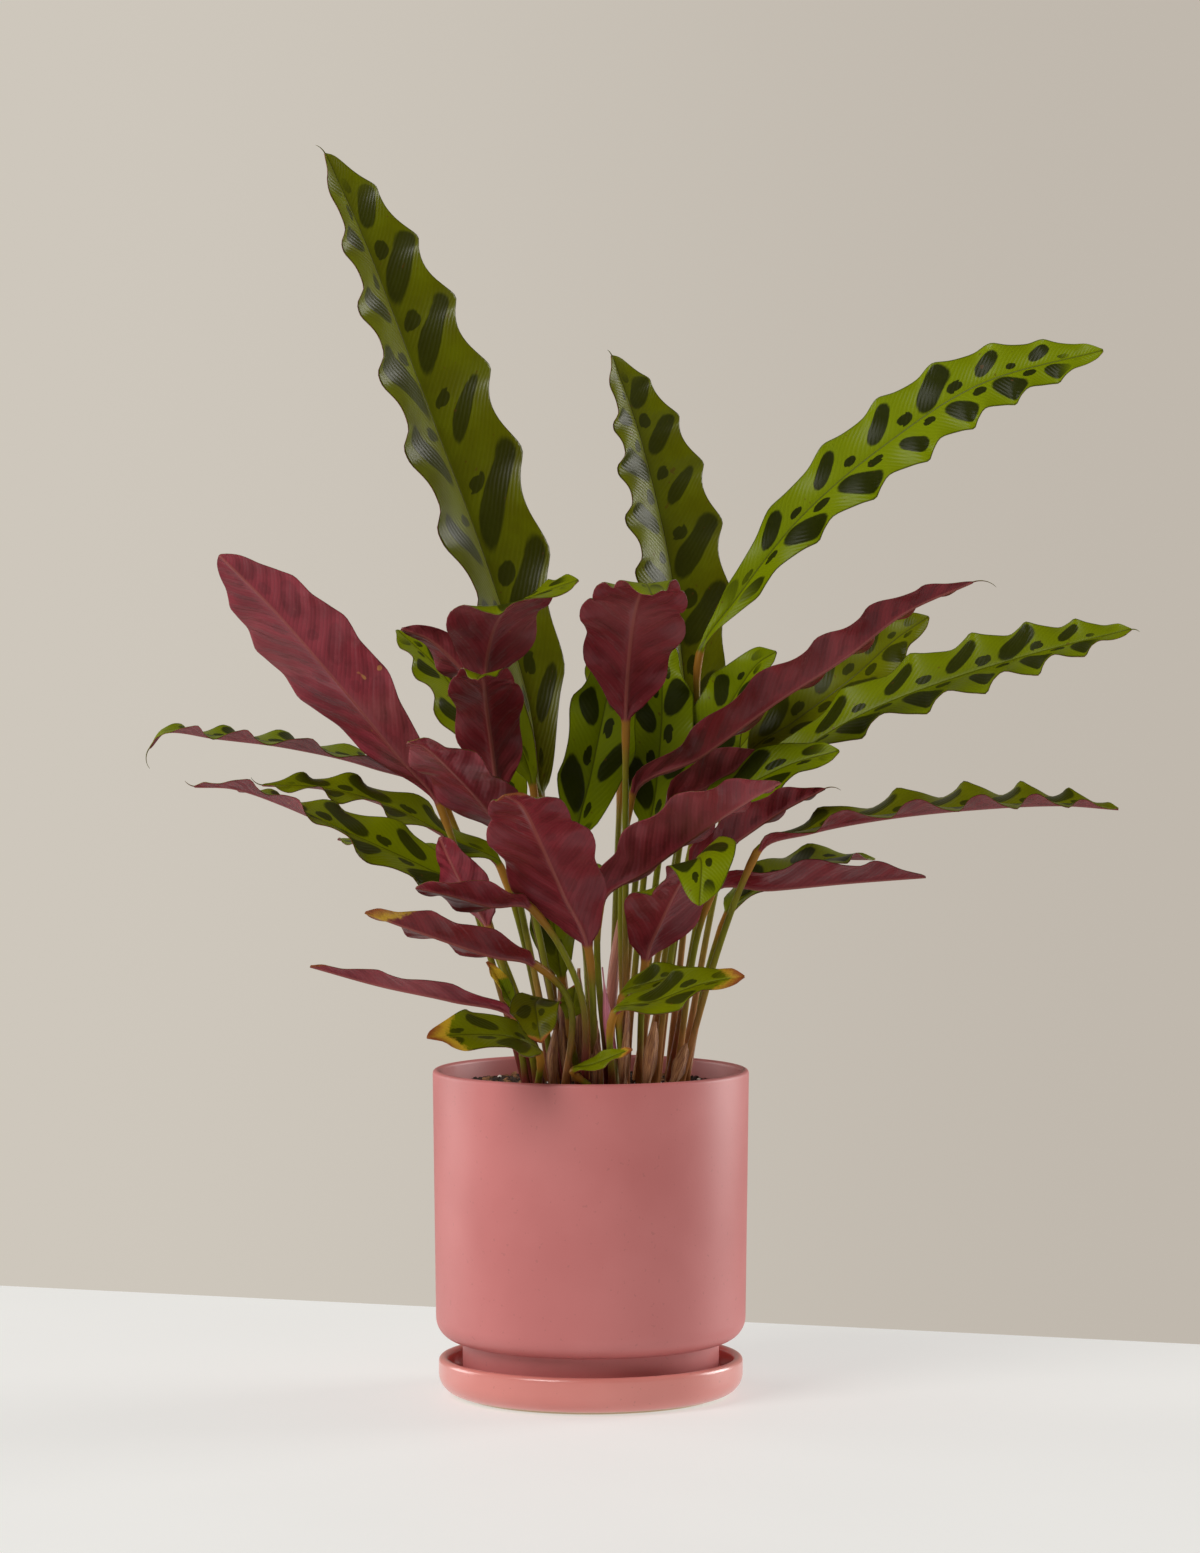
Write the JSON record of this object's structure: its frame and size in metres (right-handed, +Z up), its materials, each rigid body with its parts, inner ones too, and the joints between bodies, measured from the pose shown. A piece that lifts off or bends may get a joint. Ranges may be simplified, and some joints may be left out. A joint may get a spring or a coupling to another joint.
{
  "type": "potted rattlesnake plant",
  "caption": "Potted rattlesnake plant: waved, dark-spotted lance leaves with wine-red undersides on slim stems, in a smooth round pot on a saucer.",
  "frame": {"origin": "centre of the saucer's flat underside, on the pot's axis", "axes": "+Z up along the pot's axis; the pictured front faces -Y, and +X is to the right of that view"},
  "size_m": [0.5066, 0.3345, 0.6454],
  "materials": {
    "pot_glaze": "matte dusty rose glaze on stoneware",
    "saucer_glaze": "satin coral-rose glaze with an unglazed foot",
    "soil": "loose dark potting soil with bark and perlite",
    "leaf": "thin satin leaf, green with dark spots above and wine red below",
    "young_leaf": "rolled young leaf, pink to tan",
    "sheath": "dry papery sheath"
  },
  "bodies": {
    "root": {"pot": "pot_glaze", "saucer": "saucer_glaze", "soil": "soil", "tall_left": "leaf", "tall_centre": "leaf", "tall_right": "leaf", "great_left": "leaf", "curl_left": "leaf", "arch_left": "leaf", "arch_centre": "leaf", "upright_left": "leaf", "fore_mid_left": "leaf", "fore_left": "leaf", "level_left_high": "leaf", "wavy_left": "leaf", "level_left_low": "leaf", "pink_left": "leaf", "short_left": "leaf", "low_left": "leaf", "thin_left": "leaf", "yellow_tip_left": "leaf", "round_left": "leaf", "lobe_left": "leaf", "withered_left": "leaf", "inner_left": "leaf", "inner_centre": "leaf", "shade_centre": "leaf", "fore_right": "leaf", "baby_centre": "leaf", "inner_right": "leaf", "broad_right": "leaf", "lance_right": "leaf", "long_right": "leaf", "twist_right": "leaf", "under_right": "leaf", "small_right": "leaf", "level_right": "leaf", "low_right": "leaf", "hang_right": "leaf", "scorched_right": "leaf", "shade_right": "leaf", "back_left_high": "leaf", "back_high": "leaf", "back_upright": "leaf", "back_right_high": "leaf", "back_left_low": "leaf", "back_low": "leaf", "back_right_low": "leaf", "rolled_centre": "young_leaf", "spear_centre": "young_leaf", "papery_left": "sheath", "papery_right": "sheath", "stub_right": "sheath"}
  },
  "joints": []
}
